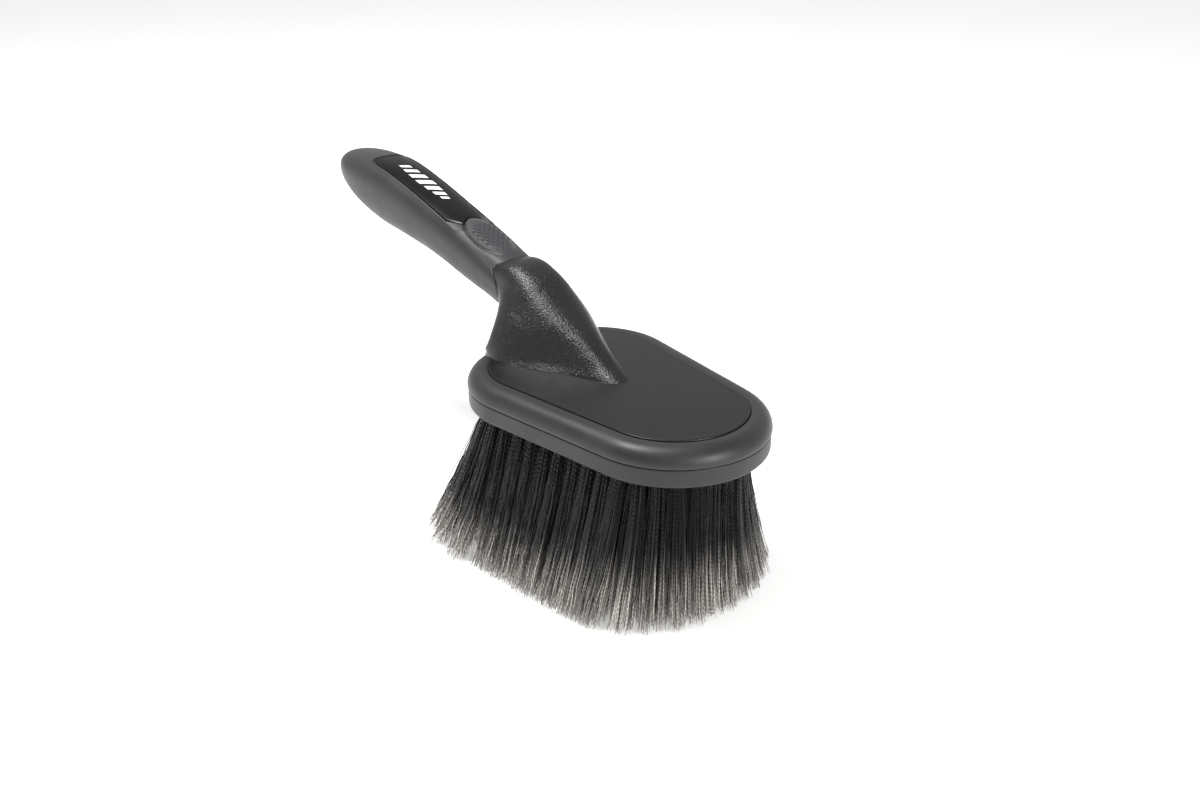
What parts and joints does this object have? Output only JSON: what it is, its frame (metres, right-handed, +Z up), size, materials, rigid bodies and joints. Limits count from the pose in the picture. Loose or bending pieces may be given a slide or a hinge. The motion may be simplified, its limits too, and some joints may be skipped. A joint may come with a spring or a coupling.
{
  "type": "wheel brush",
  "caption": "Short-handled wheel brush with a soft grip, rubber-edged oval head and flared black bristles with pale split tips.",
  "frame": {"origin": "on the floor under the middle of the deck, at the level of the bristle tips", "axes": "+X to the brush's front, away from the handle; +Y to its left; +Z up"},
  "size_m": [0.26, 0.1101, 0.1284],
  "materials": {
    "polypropylene": "fine grained black polypropylene, satin",
    "soft_grip": "matte thermoplastic rubber",
    "soft_pad": "matte thermoplastic rubber with small bumps",
    "soft_rubber": "matte thermoplastic rubber",
    "bristle": "black fibres with pale split tips",
    "anchor_wire": "plain flat wire"
  },
  "bodies": {
    "root": {"body": "polypropylene", "grip": "soft_grip", "thumb_pad": "soft_pad", "bumper": "soft_rubber", "skirt": "soft_rubber", "block": "polypropylene", "tufts_ring_1": "bristle", "anchors_ring_1": "anchor_wire", "tufts_ring_2": "bristle", "anchors_ring_2": "anchor_wire", "tufts_ring_3": "bristle", "anchors_ring_3": "anchor_wire", "tufts_ring_4": "bristle", "anchors_ring_4": "anchor_wire", "tufts_centre_row": "bristle", "anchors_centre_row": "anchor_wire"}
  },
  "joints": []
}
